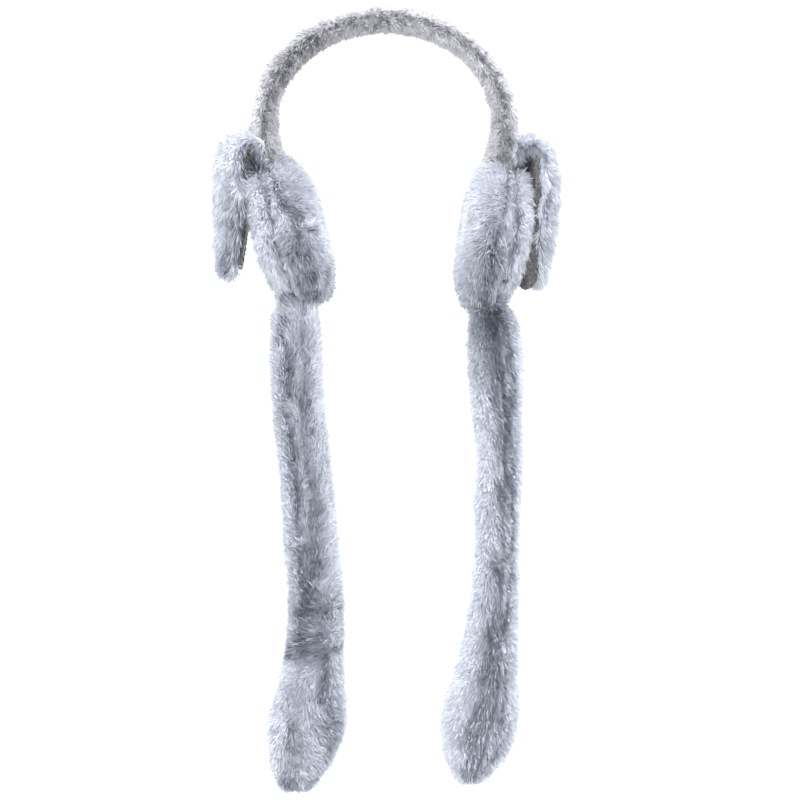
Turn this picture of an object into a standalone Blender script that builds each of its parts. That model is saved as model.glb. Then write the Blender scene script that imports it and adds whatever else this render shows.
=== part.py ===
# Plush fur earmuffs with lop ears: a furred headband, two ear cups, two ears and two stuffed paw straps.
# Metres, +Z up, front towards -Y. The origin is where the underside of the headband sits on the crown.

import math
from collections import namedtuple

import bmesh
import bpy
import numpy as np
from mathutils import Matrix, Vector, noise

# Headband, a fur sleeve on a spring band
BAND_SPAN = 0.160  # between its inner sides where it is widest
BAND_RISE = 0.067  # from that level up to the underside at the crown
BAND_THICK = 0.0198  # from the head outward
BAND_DEPTH = 0.034  # front to back
BAND_LEG = 0.019  # run below the widest level
BAND_LEAN = 0.003  # how far each leg leans in over that run
BAND_TUCK = 0.018  # run on from there, down onto the cup
BAND_ROUND = 2.4  # power of its rounded cross-section
BAND_PRESSED = 0.5  # how far round its sides the side against the head is pressed smooth
BAND_FLARE_START = 0.88  # where each end starts to swell, as a share of the way from the crown
BAND_FLARE_IN = 0.45  # how much thicker the swelling ends are towards the head, and away from it
BAND_FLARE_OUT = 0.10

# Ear cups, each a cushion against the ear and a domed back, sewn together at a seam
CUP_HEIGHT = 0.1005  # across the seam, top to bottom
CUP_DEPTH = 0.096  # across the seam, front to back
CUSHION_THICK = 0.0292
CUSHION_TOP_ROUND = 3.0  # power of the rounded profile at the top, where it slopes off
CUSHION_BASE_ROUND = 7.0  # the same at the bottom, where the fringe makes it boxy
CUSHION_TOP_SPREAD = 1.04  # its radius at the top and at the bottom, as a share of the cup's
CUSHION_BASE_SPREAD = 1.15
BACK_THICK = 0.0220
BACK_ROUND = 2.8
BACK_SPREAD = 1.02
SEAM_PINCH = 0.0045  # how deep the parting at the seam is
SEAM_HALF_WIDTH = 0.006
DIMPLE_DEPTH = 0.003  # the swirl in the middle of the cushion
DIMPLE_RADIUS = 0.014

# Lop ears
EAR_WIDTH = 0.066
EAR_REACH = 0.024  # from the root out to the hanging part
EAR_RISE = 0.012  # from the root up to the top of the fold
EAR_DROP = 0.096  # from the root down to the tip
EAR_ROOT_OUT_SHARE = 0.04  # where the root lies, as a share of the cushion's thickness out from the seam
EAR_ROOT_UP_SHARE = 1.07  # and as a share of half the cup's height up from its middle
EAR_DOME = 0.0125  # from the middle of the ear out to its furred face
EAR_BELLY = 0.0055  # from the middle of the ear in to its lined face
EAR_CURL = 0.007  # how far the long edges turn in towards the cup
EAR_STEP_SHARE = 0.02  # how far to each side its direction is read, as a share of its length
LINING_THICK = 0.002

# Stuffed straps that end in paws
STRAP_LENGTH = 0.368
STRAP_WIDTH = 0.0412
STRAP_DEPTH = 0.034
STRAP_TUCK = 0.009  # how far the neck runs up between cushion and back
STRAP_NECK_DOWN = 1.03  # where it starts, as a share of half the cup's height below its middle
STRAP_ROUND = 2.3
STRAP_SEAM = 0.0035  # depth of the parting down the front
STRAP_BOW = 0.006  # how far forward the middle hangs

# Locks of the pile
LOCK_LENGTH = 0.0165
BAND_LOCK = 0.0020  # how far a lock's tip stands proud
CUP_LOCK = 0.0030
EAR_LOCK = 0.0028
STRAP_LOCK = 0.0032
TIP_REACH = 0.88  # where a tip ends, as a share of the lock's length
NOTCH_REACH = 0.48  # where the notch between two tips ends
ROOT_UNDER = 0.34  # how far a lock's root reaches up into the notch above it
TIP_LIFT = 0.65  # how far tips, notches and roots lie off the mean surface, as shares of a lock's height
NOTCH_LIFT = -0.05
ROOT_LIFT = -0.35
LOCK_SWAY_SHARE = 0.30  # how unevenly the locks stand
EAR_PLAIN_SHARE = 0.17  # share of the ear and of the strap over which the first locks come up to full height
STRAP_PLAIN_SHARE = 0.083
STRAP_END_FADE = 0.3

PIECE_GAP = 0.0004  # between pieces that are sewn together
SHARP_ANGLE = math.radians(50)  # an edge between two faces is drawn sharp from here on
BAND_COLUMNS = 14
BAND_ARCH_STEPS = 48
CUP_COLUMNS = 24
CUP_FIRST_RING_SHARE = 0.07  # the ring next to a cup's middle, as a share of the way to the seam
EAR_COLUMNS = 18
LINING_INSET = 2  # columns of the ear left furred beside each long edge of the lining
LINING_FIRST = 3  # rows of the ear before the lining starts, and after it ends
LINING_LAST = 1
STRAP_COLUMNS = 22
MERGE = 0.00001

# How each side of the object hangs. hang is a share of half the cup's height, from the band's end down to the
# cup's middle, and outset a share of the cushion's thickness. back, strap, reach, rise and drop are shares of the
# back's thickness, the strap's length and the ear's reach, rise and drop. tilt, toe and ear_toe are in degrees.
Side = namedtuple("Side", "name sign seed hang outset tilt toe back strap ear_toe reach rise drop")
SIDES = (
    Side("left", -1, 40.0, 1.22, 0.08, 13.0, 3.5, 1.00, 1.000, -2.0, 1.00, 1.00, 0.94),
    Side("right", 1, 60.0, 1.235, 0.26, 6.8, 3.5, 0.86, 0.974, 13.0, 0.85, 0.75, 1.00),
)

# The middle of each ear, from its root over the fold to its tip. along is a share of its length, out a share of
# its reach, rise a share of the fold's height, drop a share of the hanging length, width a share of its width,
# thick a share of its full thickness, and curl how much of the edges' turning in is there.
EarRow = namedtuple("EarRow", "along out rise drop width thick curl")
EAR_PATHS = {
    "left": (
        EarRow(0.00, 0.05, -0.25, 0.00, 0.50, 0.80, 0.00),
        EarRow(0.09, 0.06, 0.55, 0.00, 0.62, 0.86, 0.10),
        EarRow(0.18, 0.36, 1.00, 0.00, 0.72, 0.88, 0.20),
        EarRow(0.27, 0.70, 0.93, 0.00, 0.82, 0.88, 0.35),
        EarRow(0.37, 0.95, 0.35, 0.00, 0.92, 0.95, 0.60),
        EarRow(0.48, 1.02, 0.00, 0.12, 1.00, 1.05, 0.85),
        EarRow(0.65, 0.99, 0.00, 0.38, 1.00, 1.12, 1.00),
        EarRow(0.82, 1.06, 0.00, 0.68, 0.88, 1.00, 1.00),
        EarRow(0.94, 1.12, 0.00, 0.90, 0.64, 0.78, 0.90),
        EarRow(1.00, 1.08, 0.00, 1.00, 0.34, 0.60, 0.70),
    ),
    "right": (
        EarRow(0.00, 0.05, -0.25, 0.00, 0.50, 0.80, 0.00),
        EarRow(0.09, 0.16, 0.60, 0.00, 0.62, 0.86, 0.10),
        EarRow(0.18, 0.44, 1.00, 0.00, 0.72, 0.86, 0.20),
        EarRow(0.27, 0.78, 0.88, 0.00, 0.82, 0.88, 0.35),
        EarRow(0.37, 1.02, 0.15, 0.00, 0.92, 0.92, 0.60),
        EarRow(0.48, 1.10, 0.00, 0.17, 1.00, 0.98, 0.85),
        EarRow(0.65, 1.04, 0.00, 0.42, 1.00, 1.00, 1.00),
        EarRow(0.82, 0.95, 0.00, 0.70, 0.88, 0.98, 1.00),
        EarRow(0.94, 0.88, 0.00, 0.91, 0.62, 0.85, 0.90),
        EarRow(1.00, 0.84, 0.00, 1.00, 0.30, 0.55, 0.70),
    ),
}

# Cross-sections of each strap from its neck to the paw's tip. down is a share of its length, across how far its
# middle lies off the neck and width its breadth, both shares of the strap's width, depth a share of its depth,
# and seam where the parting runs, as a share of the breadth.
StrapRow = namedtuple("StrapRow", "down across width depth seam")
STRAPS = {
    "left": (
        StrapRow(0.000, 0.00, 0.56, 0.62, 0.10),
        StrapRow(0.030, -0.05, 0.84, 0.82, 0.12),
        StrapRow(0.087, -0.05, 0.92, 0.92, 0.14),
        StrapRow(0.171, -0.03, 1.01, 1.00, 0.11),
        StrapRow(0.218, -0.01, 1.03, 0.96, 0.10),
        StrapRow(0.340, 0.11, 1.02, 1.00, 0.08),
        StrapRow(0.480, 0.22, 1.05, 1.02, 0.03),
        StrapRow(0.630, 0.32, 1.07, 1.04, -0.14),
        StrapRow(0.720, 0.29, 1.15, 1.08, -0.12),
        StrapRow(0.790, 0.23, 1.26, 1.20, -0.10),
        StrapRow(0.858, 0.16, 1.46, 1.34, -0.08),
        StrapRow(0.912, 0.09, 1.27, 1.26, -0.08),
        StrapRow(0.960, 0.01, 0.96, 1.00, -0.06),
        StrapRow(0.988, -0.04, 0.64, 0.66, 0.00),
        StrapRow(1.000, -0.06, 0.30, 0.30, 0.00),
    ),
    "right": (
        StrapRow(0.000, -0.04, 0.50, 0.60, 0.05),
        StrapRow(0.030, -0.03, 0.76, 0.80, 0.04),
        StrapRow(0.077, 0.00, 0.93, 0.92, 0.04),
        StrapRow(0.168, 0.04, 1.04, 1.00, 0.06),
        StrapRow(0.245, 0.06, 0.95, 0.94, 0.08),
        StrapRow(0.373, 0.10, 0.88, 0.90, 0.12),
        StrapRow(0.433, 0.06, 0.88, 0.90, 0.18),
        StrapRow(0.520, 0.06, 0.81, 0.90, 0.18),
        StrapRow(0.611, 0.01, 0.91, 0.96, 0.17),
        StrapRow(0.700, -0.05, 1.05, 1.02, 0.14),
        StrapRow(0.788, -0.16, 1.24, 1.16, 0.14),
        StrapRow(0.848, -0.25, 1.42, 1.30, 0.14),
        StrapRow(0.906, -0.26, 1.33, 1.26, 0.12),
        StrapRow(0.956, -0.34, 1.00, 1.00, 0.06),
        StrapRow(0.986, -0.40, 0.66, 0.66, 0.02),
        StrapRow(1.000, -0.41, 0.30, 0.30, 0.00),
    ),
}

# Creases and dents pressed into the front of a strap. down and tall are shares of its length, across and wide of
# its width, slant how much lower the crease runs one strap's width to the right, and deep a share of its depth.
Crease = namedtuple("Crease", "down across slant wide tall deep")
CREASES = {
    "left": (
        Crease(0.030, 0.00, 0.000, 0.70, 0.012, 0.10),
        Crease(0.214, -0.14, 0.020, 0.35, 0.016, 0.11),
        Crease(0.420, 0.17, -0.020, 0.35, 0.018, 0.11),
        Crease(0.726, -0.25, 0.020, 0.60, 0.013, 0.20),
        Crease(0.789, -0.20, 0.010, 0.35, 0.014, 0.12),
        Crease(0.906, -0.25, -0.015, 0.50, 0.014, 0.14),
        Crease(0.960, -0.18, 0.010, 0.35, 0.010, 0.10),
    ),
    "right": (
        Crease(0.020, 0.00, 0.000, 0.70, 0.012, 0.10),
        Crease(0.205, 0.25, 0.020, 0.45, 0.015, 0.14),
        Crease(0.373, -0.10, -0.020, 0.40, 0.016, 0.11),
        Crease(0.530, 0.05, 0.015, 0.50, 0.018, 0.13),
        Crease(0.680, 0.20, 0.020, 0.45, 0.015, 0.12),
        Crease(0.900, 0.15, -0.015, 0.45, 0.014, 0.12),
    ),
}

COLOURS = {
    "headband": (0.54, 0.54, 0.57),
    "ear_cushion": (0.50, 0.52, 0.58),
    "cup_back": (0.47, 0.50, 0.57),
    "ear_flap": (0.52, 0.55, 0.61),
    "ear_lining": (0.27, 0.26, 0.26),
    "strap": (0.45, 0.47, 0.54),
}
PILE_ROUGHNESS = 0.9


def mix(start, end, share):
    return start + (end - start) * share


def read(table, share):
    """A table's columns at a share of the way along, on smooth curves through its rows."""
    rows = np.array(table, float)
    keys = rows[:, 0]
    share = min(max(share, 0.0), 1.0)
    slopes = np.gradient(rows, keys, axis=0)
    after = min(max(int(np.searchsorted(keys, share)), 1), len(keys) - 1)
    before = after - 1
    run = keys[after] - keys[before]
    t = (share - keys[before]) / run
    bend_in = (2 * t**3 - 3 * t**2 + 1) * rows[before] + (t**3 - 2 * t**2 + t) * run * slopes[before]
    bend_out = (3 * t**2 - 2 * t**3) * rows[after] + (t**3 - t**2) * run * slopes[after]
    return type(table[0])(*(bend_in + bend_out))


def lock(column, step, layers, seed, furred=True):
    """Where a point of the pile lies: its share of the way along, and its lift as a share of a lock's height.

    The locks lie in staggered layers. Each layer has a row at its pointed tips, and a row at its roots that
    follows the tips and notches of the layer above it. Where nothing is furred the rows are even.
    """
    if not furred:
        return step / (2 * layers), 0.0
    layer, at_tips = divmod(step, 2)
    crest = (column + layer) % 2 == 0
    if at_tips:
        reach = TIP_REACH if crest else NOTCH_REACH
        lift = TIP_LIFT if crest else NOTCH_LIFT
    else:
        reach = -ROOT_UNDER if crest and 0 < layer < layers else 0.0
        lift = ROOT_LIFT
    sway = LOCK_SWAY_SHARE * noise.noise(Vector((1.7 * column, 1.3 * step, seed)))
    return min((layer + reach) / layers, 1.0), lift + sway


def rounded(angle, power):
    """A direction's sine and cosine, carried out to a square with round corners."""
    reach = (abs(math.cos(angle)) ** power + abs(math.sin(angle)) ** power) ** (1 / power)
    return math.cos(angle) / reach, math.sin(angle) / reach


def rolled(name, columns, rings, place, start, end):
    """One closed body, from a grid whose columns go round and whose rows run from pole to pole."""
    shape = bmesh.new()
    bmesh.ops.create_grid(shape, x_segments=columns, y_segments=rings + 1, size=0.5)
    for vert in shape.verts:
        column = round((vert.co.x + 0.5) * columns) % columns
        row = round((vert.co.y + 0.5) * (rings + 1))
        if row == 0:
            vert.co = start
        elif row > rings:
            vert.co = end
        else:
            vert.co = place(column, row - 1)
    bmesh.ops.remove_doubles(shape, verts=shape.verts[:], dist=MERGE)
    bmesh.ops.triangulate(shape, faces=shape.faces[:], quad_method="SHORT_EDGE")
    bmesh.ops.recalc_face_normals(shape, faces=shape.faces[:])
    mesh = bpy.data.meshes.new(name)
    shape.to_mesh(mesh)
    shape.free()
    mesh.shade_smooth()
    mesh.set_sharp_from_angle(angle=SHARP_ANGLE)
    piece = bpy.data.objects.new(name, mesh)
    bpy.context.scene.collection.objects.link(piece)
    return piece


def finish(piece, kind):
    """Gives a piece its pile's colour."""
    material = bpy.data.materials.new(piece.name)
    material.use_nodes = True
    shader = material.node_tree.nodes["Principled BSDF"]
    shader.inputs["Base Color"].default_value = (*COLOURS[kind], 1)
    shader.inputs["Roughness"].default_value = PILE_ROUGHNESS
    shader.inputs["Metallic"].default_value = 0
    piece.data.materials.append(material)


def layers_in(length):
    return max(2, round(length / LOCK_LENGTH))


def headband():
    """A tube over the head, from one cup to the other, with its locks combed down from the crown."""
    half_span = (BAND_SPAN + BAND_THICK) / 2
    rise = BAND_RISE + BAND_THICK / 2
    route = []
    for turn in range(BAND_ARCH_STEPS + 1):
        angle = math.pi / 2 * turn / BAND_ARCH_STEPS
        route.append(Vector((half_span * math.sin(angle), 0, rise * math.cos(angle) - BAND_RISE)))
    leg_end = band_end(1)
    route.append(leg_end)
    inward = Vector((-BAND_LEAN, 0, -BAND_LEG)).normalized()
    route.append(leg_end + inward * BAND_TUCK)
    lengths = np.concatenate([[0], np.cumsum([(b - a).length for a, b in zip(route, route[1:])])])
    places = np.array(route)
    layers = layers_in(lengths[-1])
    middle_step = 2 * layers

    def walk(share):
        at = share * lengths[-1]
        return Vector([float(np.interp(at, lengths, places[:, axis])) for axis in range(3)])

    def place(column, ring):
        step = abs(ring - middle_step)
        sign = 1 if ring >= middle_step else -1
        angle = 2 * math.pi * column / BAND_COLUMNS
        furred = math.cos(angle) > -BAND_PRESSED
        share, lift = lock(column, step, layers, sign, furred)
        ahead = walk(min(share + 0.01, 1.0)) - walk(max(share - 0.01, 0.0))
        outward = Vector((-ahead.z, 0, ahead.x)).normalized()
        up, across = rounded(angle, BAND_ROUND)
        standing = max(0.0, (BAND_PRESSED + math.cos(angle)) / (BAND_PRESSED + 1))
        flare = max(0.0, share - BAND_FLARE_START) / (1 - BAND_FLARE_START)
        lift *= BAND_LOCK * standing * (1 - flare)
        half_thick = BAND_THICK / 2 * (1 + (BAND_FLARE_IN if up < 0 else BAND_FLARE_OUT) * flare)
        centre = walk(share)
        point = centre + outward * (half_thick * up + lift * math.cos(angle))
        point += Vector((0, 1, 0)) * (BAND_DEPTH / 2 * across + lift * math.sin(angle))
        point.x *= sign
        return point

    end = walk(1.0)
    far_end = Vector((-end.x, 0, end.z))
    return rolled("headband", BAND_COLUMNS, 2 * middle_step + 1, place, far_end, end)


def band_end(sign):
    """Where the middle of the headband's leg ends, above the cup."""
    half_span = (BAND_SPAN + BAND_THICK) / 2
    return Vector((sign * (half_span - BAND_LEAN), 0, -BAND_RISE - BAND_LEG))


def cup_frame(side):
    """The cup's own frame: +X out along its axis, +Z up in the plane of its seam."""
    yaw = side.toe if side.sign > 0 else 180 - side.toe
    turn = Matrix.Rotation(math.radians(yaw), 4, "Z") @ Matrix.Rotation(math.radians(side.tilt), 4, "Y")
    hung = Vector((side.outset * CUSHION_THICK, 0, -side.hang * CUP_HEIGHT / 2))
    return Matrix.Translation(band_end(side.sign) + turn.to_3x3() @ hung) @ turn


def cup_half(name, thick, outward, profile_power, radius_share, frame, seed):
    """A cushion or a back: locks fan out from its middle over the rim to the seam."""
    layers = layers_in(CUP_HEIGHT / 2 + thick)

    def place(column, ring):
        share, lift = lock(column, ring, layers, seed)
        share = mix(CUP_FIRST_RING_SHARE, 1.0, share)
        angle = 2 * math.pi * column / CUP_COLUMNS
        low = (1 - math.cos(angle)) / 2
        slope = share * math.pi / 2
        over, out = rounded(slope, profile_power(low))
        axial = thick * over
        radial = radius_share(low) * out
        fade = math.sin(math.pi * min(share + 0.12, 1.0)) ** 0.5 if share < 1 else 0.0
        lift *= CUP_LOCK * fade / (CUP_HEIGHT / 2)
        radial += lift * math.sin(slope)
        axial += lift * math.cos(slope) * CUP_HEIGHT / 2
        axial -= DIMPLE_DEPTH * math.exp(-((radial * CUP_HEIGHT / 2 / DIMPLE_RADIUS) ** 2))
        radial -= SEAM_PINCH / (CUP_HEIGHT / 2) * math.exp(-((axial / SEAM_HALF_WIDTH) ** 2))
        across = CUP_DEPTH / 2 * radial * math.sin(angle)
        upward = CUP_HEIGHT / 2 * radial * math.cos(angle)
        return Vector((outward * (axial + PIECE_GAP / 2), across, upward))

    middle = Vector((outward * (thick - DIMPLE_DEPTH), 0, 0))
    at_seam = Vector((outward * PIECE_GAP / 2, 0, 0))
    piece = rolled(name, CUP_COLUMNS, 2 * layers + 1, place, middle, at_seam)
    piece.matrix_world = frame
    return piece


def ear_frame(side):
    """The ear's own frame: +X outward, +Z up, at its root on top of the cup."""
    yaw = side.ear_toe if side.sign > 0 else 180 - side.ear_toe
    aside = EAR_ROOT_OUT_SHARE * CUSHION_THICK
    root = cup_frame(side) @ Vector((aside, 0, EAR_ROOT_UP_SHARE * CUP_HEIGHT / 2))
    return Matrix.Translation(root) @ Matrix.Rotation(math.radians(yaw), 4, "Z")


def ear_middle(side, share):
    """The ear's middle, its outward normal, its half width, its thickness share and how far its edges curl in."""

    def point(row):
        height = EAR_RISE * side.rise * row.rise - EAR_DROP * side.drop * row.drop
        return Vector((EAR_REACH * side.reach * row.out, 0, height))

    path = EAR_PATHS[side.name]
    row = read(path, share)
    ahead = point(read(path, share + EAR_STEP_SHARE)) - point(read(path, share - EAR_STEP_SHARE))
    outward = Vector((-ahead.z, 0, ahead.x)).normalized()
    return point(row), outward, EAR_WIDTH / 2 * row.width, row.thick, EAR_CURL * row.curl


def ear_column(column):
    """How far out of the ear's middle, and how far across it, a column of its cross-section lies."""
    angle = 2 * math.pi * column / EAR_COLUMNS
    return math.sin(angle), math.cos(angle)


def ear_layers(side):
    """How many layers of locks fit along the middle of the ear."""
    steps = round(1 / EAR_STEP_SHARE)
    middles = [ear_middle(side, step / steps)[0] for step in range(steps + 1)]
    return layers_in(sum((b - a).length for a, b in zip(middles, middles[1:])))


def ear_flap(side):
    """A leaf folded over at its root: furred outside and along its edges, plain where the lining lies."""
    layers = ear_layers(side)

    def place(column, ring):
        over, across = ear_column(column)
        share, lift = lock(column, ring, layers, side.seed + 2, over > -MERGE)
        middle, outward, half_width, thick, curl = ear_middle(side, share)
        fade = min(1.0, share / EAR_PLAIN_SHARE) * (1.0 if share < 1 else 0.0)
        lift *= EAR_LOCK * fade
        body = (EAR_DOME if over > 0 else EAR_BELLY) * over * thick
        point = middle + outward * (body - curl * across * across + lift * over)
        return point + Vector((0, across * (half_width + lift), 0))

    start = ear_middle(side, 0.0)[0]
    tip = ear_middle(side, 1.0)[0]
    piece = rolled(f"ear_flap_{side.name}", EAR_COLUMNS, 2 * layers + 1, place, start, tip)
    piece.matrix_world = ear_frame(side)
    return piece


def ear_lining(side):
    """A thin knitted leaf on the face of the ear that looks at the cup, over the same rows and columns."""
    steps = 2 * ear_layers(side)
    covered = range(EAR_COLUMNS // 2 + LINING_INSET, EAR_COLUMNS - LINING_INSET + 1)
    around = [(column, 0.0) for column in covered]
    around += [(column, LINING_THICK) for column in reversed(covered)]

    def under(step, over, across, depth):
        middle, outward, half_width, thick, curl = ear_middle(side, step / steps)
        hollow = EAR_BELLY * thick * -over + curl * across * across
        return middle - outward * (hollow + PIECE_GAP + depth) + Vector((0, across * half_width, 0))

    def place(turn, ring):
        column, depth = around[turn]
        return under(LINING_FIRST + ring, *ear_column(column), depth)

    last = steps - LINING_LAST
    start = under(LINING_FIRST, -1.0, 0.0, LINING_THICK / 2)
    end = under(last, -1.0, 0.0, LINING_THICK / 2)
    name = f"ear_lining_{side.name}"
    piece = rolled(name, len(around), last - LINING_FIRST + 1, place, start, end)
    piece.matrix_world = ear_frame(side)
    return piece


def strap(side):
    """A stuffed tube that hangs from the cup and swells into a paw, with a parting down its front."""
    table = STRAPS[side.name]
    length = STRAP_LENGTH * side.strap + STRAP_TUCK
    layers = layers_in(length)

    def dent(down, across):
        pressed = 0.0
        for crease in CREASES[side.name]:
            aside = across - crease.across
            below = down - crease.down - crease.slant * aside
            pressed += crease.deep * math.exp(-((aside / crease.wide) ** 2) - (below / crease.tall) ** 2)
        return pressed * STRAP_DEPTH

    def place(column, ring):
        share, lift = lock(column, ring, layers, side.seed + 3)
        row = read(table, share)
        parting = -math.pi / 2 + math.asin(max(-0.9, min(0.9, 2 * row.seam)))
        angle = parting + 2 * math.pi * column / STRAP_COLUMNS
        across, forward = rounded(angle, STRAP_ROUND)
        fade = min(1.0, share / STRAP_PLAIN_SHARE)
        lift *= STRAP_LOCK * fade * (1.0 if share < 1 else STRAP_END_FADE)
        if column == 0:
            lift = -STRAP_SEAM * fade
        x = STRAP_WIDTH / 2 * row.width * across
        front = max(0.0, -forward)
        pressed = dent(share, x / STRAP_WIDTH) * front
        y = STRAP_DEPTH / 2 * row.depth * forward + pressed - STRAP_BOW * math.sin(math.pi * share)
        x += STRAP_WIDTH * row.across + lift * math.cos(angle)
        y += lift * math.sin(angle)
        return Vector((x, y, STRAP_TUCK - share * length))

    tip = read(table, 1.0)
    end = Vector((STRAP_WIDTH * tip.across, 0, STRAP_TUCK - length))
    top = Vector((STRAP_WIDTH * table[0].across, 0, STRAP_TUCK))
    piece = rolled(f"strap_{side.name}", STRAP_COLUMNS, 2 * layers + 1, place, top, end)
    neck = cup_frame(side) @ Vector((0, 0, -STRAP_NECK_DOWN * CUP_HEIGHT / 2))
    piece.matrix_world = Matrix.Translation(neck)
    return piece


def grown(piece):
    """A cutter a little larger than a piece, which leaves the gap between it and what meets it."""
    cutter = piece.copy()
    cutter.name = f"room_for_{piece.name}"
    cutter.hide_render = True
    cutter.display_type = "WIRE"
    bpy.context.scene.collection.objects.link(cutter)
    swell = cutter.modifiers.new("gap", "DISPLACE")
    swell.mid_level = 0
    swell.strength = PIECE_GAP
    return cutter


def cut(piece, cutters):
    """Takes each cutter out of a piece. The locks of a grown cutter may cross each other, hence use_self."""
    for cutter in cutters:
        modifier = piece.modifiers.new(cutter.name, "BOOLEAN")
        modifier.operation = "DIFFERENCE"
        modifier.solver = "EXACT"
        modifier.use_self = True
        modifier.object = cutter


def build():
    for thing in list(bpy.data.objects):
        bpy.data.objects.remove(thing, do_unlink=True)
    crown = bpy.data.objects.new("crown", None)
    bpy.context.scene.collection.objects.link(crown)
    band = headband()
    finish(band, "headband")
    band_room = grown(band)
    for side in SIDES:
        frame = cup_frame(side)
        cushion = cup_half(
            f"ear_cushion_{side.name}",
            CUSHION_THICK,
            -1,
            lambda low: mix(CUSHION_TOP_ROUND, CUSHION_BASE_ROUND, low),
            lambda low: mix(CUSHION_TOP_SPREAD, CUSHION_BASE_SPREAD, low * low),
            frame,
            side.seed,
        )
        back = cup_half(
            f"cup_back_{side.name}",
            BACK_THICK * side.back,
            1,
            lambda low: BACK_ROUND,
            lambda low: BACK_SPREAD,
            frame,
            side.seed + 1,
        )
        flap = ear_flap(side)
        lining = ear_lining(side)
        hanging = strap(side)
        rooms = [grown(cushion), grown(back)]
        cut(band, rooms)
        cut(flap, [*rooms, band_room])
        cut(lining, [*rooms, band_room])
        cut(hanging, rooms)
        finish(cushion, "ear_cushion")
        finish(back, "cup_back")
        finish(flap, "ear_flap")
        finish(lining, "ear_lining")
        finish(hanging, "strap")
    for piece in bpy.context.scene.collection.objects:
        if piece is not crown:
            piece.parent = crown


build()
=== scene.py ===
import math

import bmesh
import bpy
import numpy as np
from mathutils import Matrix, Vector, kdtree, noise
from mathutils.bvhtree import BVHTree


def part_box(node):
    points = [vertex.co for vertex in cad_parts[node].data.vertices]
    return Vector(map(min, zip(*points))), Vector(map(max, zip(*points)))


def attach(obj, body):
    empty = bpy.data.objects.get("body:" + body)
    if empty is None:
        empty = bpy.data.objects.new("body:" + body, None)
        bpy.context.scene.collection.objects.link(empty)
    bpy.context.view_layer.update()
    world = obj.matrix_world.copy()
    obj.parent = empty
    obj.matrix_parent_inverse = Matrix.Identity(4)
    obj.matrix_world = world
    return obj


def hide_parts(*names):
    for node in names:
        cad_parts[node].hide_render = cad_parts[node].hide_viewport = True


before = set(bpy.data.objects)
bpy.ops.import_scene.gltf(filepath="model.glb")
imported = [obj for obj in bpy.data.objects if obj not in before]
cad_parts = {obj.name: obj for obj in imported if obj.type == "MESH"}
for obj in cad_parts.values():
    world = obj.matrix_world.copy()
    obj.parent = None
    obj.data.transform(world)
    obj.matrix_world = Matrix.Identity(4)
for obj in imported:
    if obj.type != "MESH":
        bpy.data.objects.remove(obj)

# Plush fur earmuffs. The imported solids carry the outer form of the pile. Here each one becomes a stuffed
# skin of backing cloth, and tens of thousands of fibres stand on it up to that outer form.
scene = bpy.context.scene
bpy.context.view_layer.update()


def linear(hexCode):
    parts = [int(hexCode[i:i + 2], 16) / 255 for i in (0, 2, 4)]
    return [c / 12.92 if c <= 0.04045 else ((c + 0.055) / 1.055) ** 2.4 for c in parts] + [1.0]


def addNode(tree, kind, inputs=None, **settings):
    # inputs are numbers, colours or other nodes' outputs
    node = tree.nodes.new(kind)
    for name, value in settings.items():
        setattr(node, name, value)
    for name, value in (inputs or {}).items():
        if isinstance(value, bpy.types.NodeSocket):
            tree.links.new(value, node.inputs[name])
        else:
            node.inputs[name].default_value = value
    return node


def unit(rows):
    return rows / np.maximum(np.linalg.norm(rows, axis=1, keepdims=True), 1e-9)


def shorter(rows, most):
    # each row cut down to a length of at most that many metres
    return rows * np.minimum(1, most / np.maximum(np.linalg.norm(rows, axis=1, keepdims=True), 1e-9))


def cleanCopy(node, name):
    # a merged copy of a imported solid, in the same place
    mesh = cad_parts[node].data.copy()
    mesh.materials.clear()
    shape = bmesh.new()
    shape.from_mesh(mesh)
    bmesh.ops.remove_doubles(shape, verts=shape.verts[:], dist=0.00001)
    shape.to_mesh(mesh)
    shape.free()
    piece = bpy.data.objects.new(name, mesh)
    scene.collection.objects.link(piece)
    return piece


def applyModifiers(piece):
    graph = bpy.context.evaluated_depsgraph_get()
    made = bpy.data.meshes.new_from_object(piece.evaluated_get(graph))
    old = piece.data
    piece.modifiers.clear()
    piece.data = made
    made.name = piece.name
    bpy.data.meshes.remove(old)


def pointsOf(piece):
    rows = np.empty(len(piece.data.vertices) * 3, np.float32)
    piece.data.vertices.foreach_get("co", rows)
    return rows.reshape(-1, 3).astype(float)


def normalsOf(piece):
    rows = np.empty(len(piece.data.vertices) * 3, np.float32)
    piece.data.vertex_normals.foreach_get("vector", rows)
    return rows.reshape(-1, 3).astype(float)


def movePoints(piece, rows):
    piece.data.vertices.foreach_set("co", rows.astype(np.float32).ravel())
    piece.data.update()


def noiseAt(points, size, seed):
    # smooth noise from -1 to 1, with lumps of about that size in metres
    away = Vector((seed * 7.31, seed * 3.17, seed * 5.73))
    return np.array([noise.noise(Vector(p) / size + away) for p in points])


def spread(piece, values, rounds):
    # averages a value over the neighbours of each point
    edges = np.empty(len(piece.data.edges) * 2, np.int32)
    piece.data.edges.foreach_get("vertices", edges)
    a, b = edges.reshape(-1, 2).T
    count = np.bincount(a, minlength=len(values)) + np.bincount(b, minlength=len(values))
    for _ in range(rounds):
        total = np.bincount(a, values[b], len(values)) + np.bincount(b, values[a], len(values))
        values = (values + total) / (1 + count)
    return values


def remeshed(piece, voxel):
    remesh = piece.modifiers.new("even faces", "REMESH")
    remesh.mode = "VOXEL"
    remesh.voxel_size = voxel
    remesh.use_smooth_shade = True
    soften = piece.modifiers.new("soften", "LAPLACIANSMOOTH")
    soften.iterations = 3
    soften.lambda_factor = 0.5
    applyModifiers(piece)


stuffing = {"pressure": 4.0, "frames": 20}


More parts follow.
